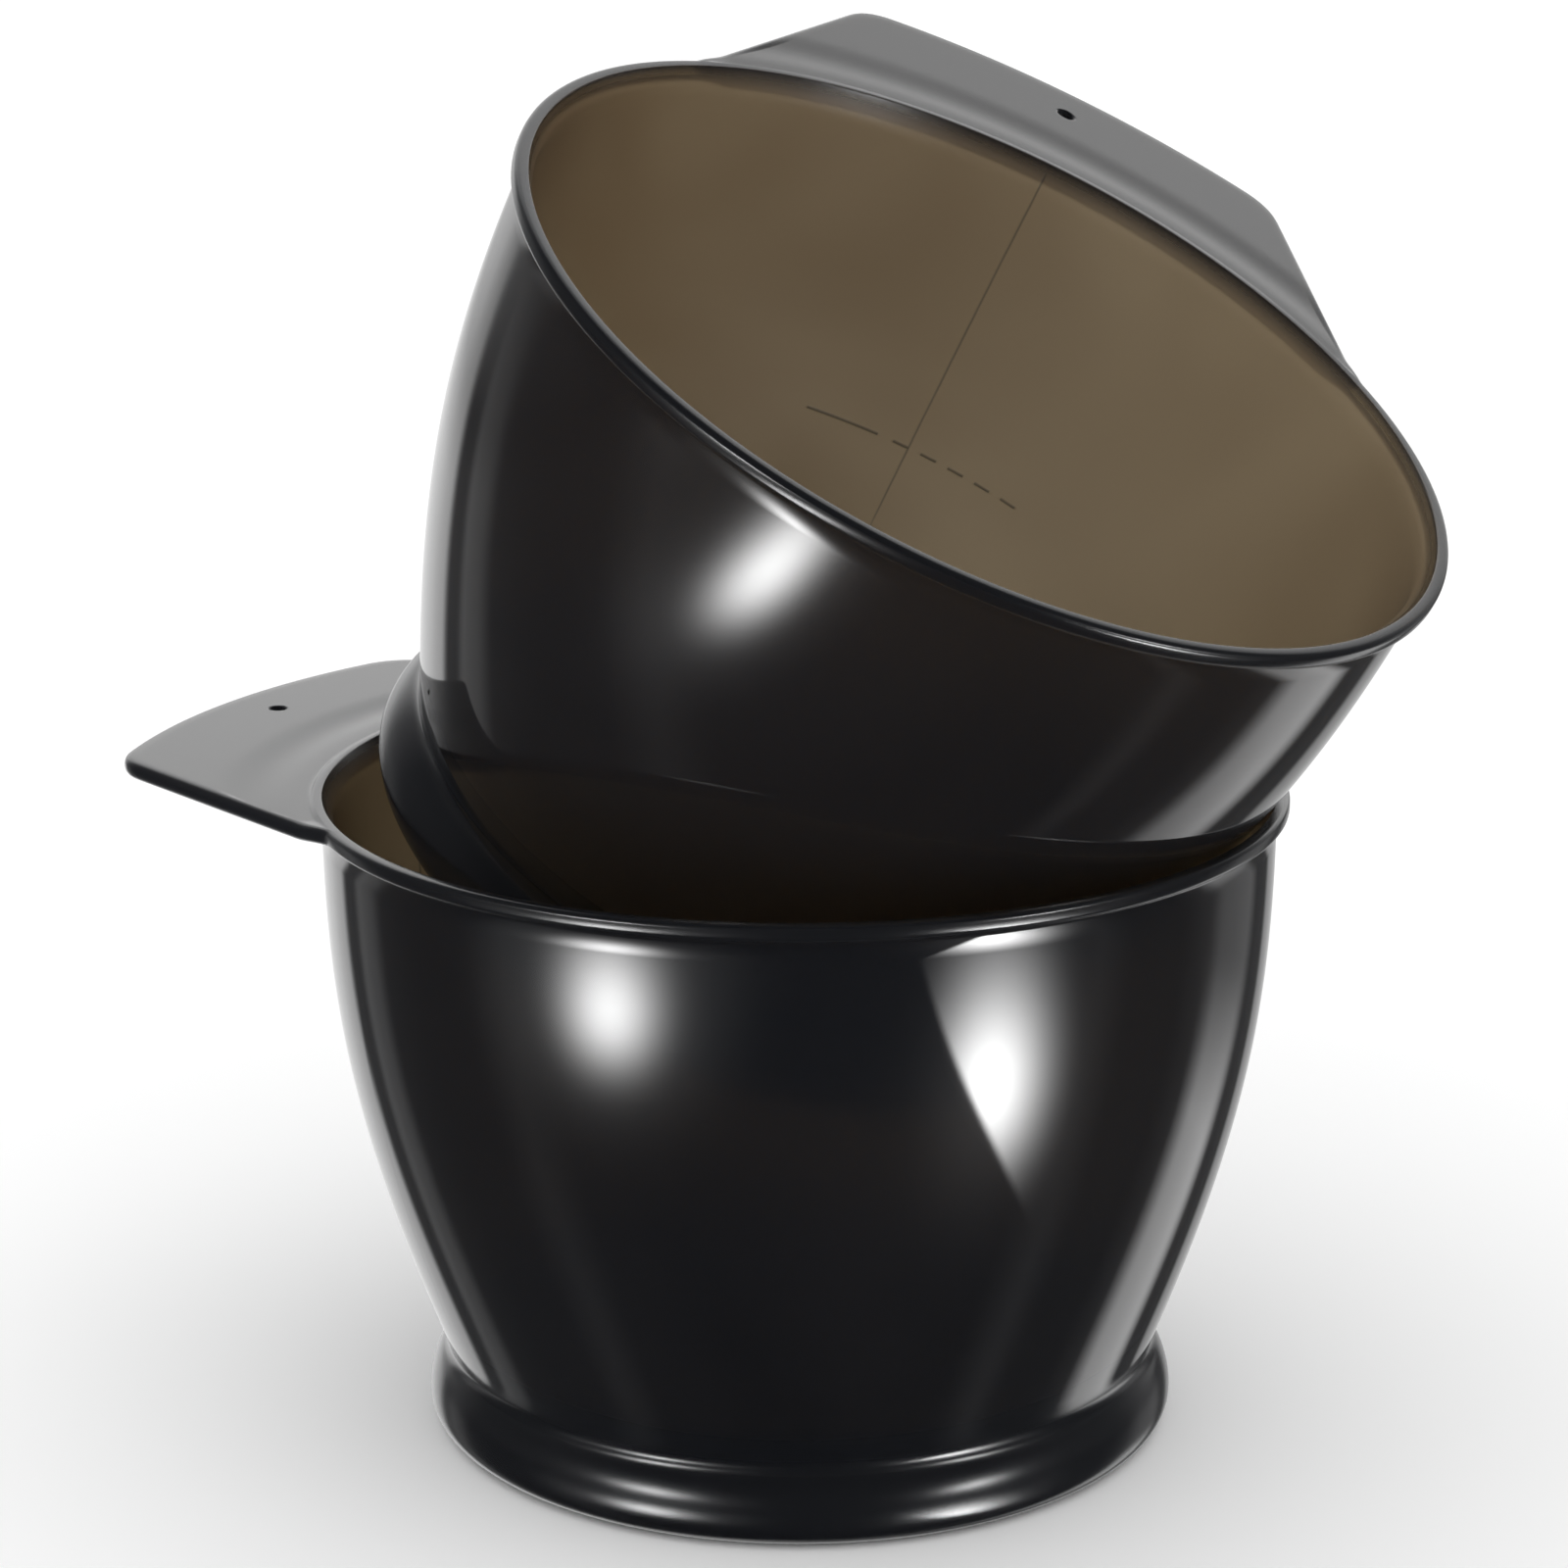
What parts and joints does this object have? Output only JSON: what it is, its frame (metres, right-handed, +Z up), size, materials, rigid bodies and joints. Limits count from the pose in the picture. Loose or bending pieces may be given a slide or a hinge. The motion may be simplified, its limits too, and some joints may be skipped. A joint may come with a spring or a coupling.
{
  "type": "hair color bowl",
  "caption": "Deep glossy tint bowl with a flat thumb ear and a flared hollow foot, and a second identical bowl tipped in its mouth.",
  "frame": {"origin": "centre of the lower bowl's foot, on the surface it stands on", "axes": "+Z up along the lower bowl's axis, -Y towards the viewer, -X towards the side of the lower bowl's ear"},
  "size_m": [0.1762, 0.1534, 0.1819],
  "materials": {
    "smoke_plastic": "high gloss, see-through smoke brown"
  },
  "bodies": {
    "lower_bowl": {"lower_bowl": "smoke_plastic"},
    "upper_bowl": {"upper_bowl": "smoke_plastic"}
  },
  "joints": [
    {"name": "upper_bowl_lift", "type": "slide", "parent": "lower_bowl", "child": "upper_bowl", "axis": [0, 0, 1], "range_m": [0, 0.06]}
  ]
}
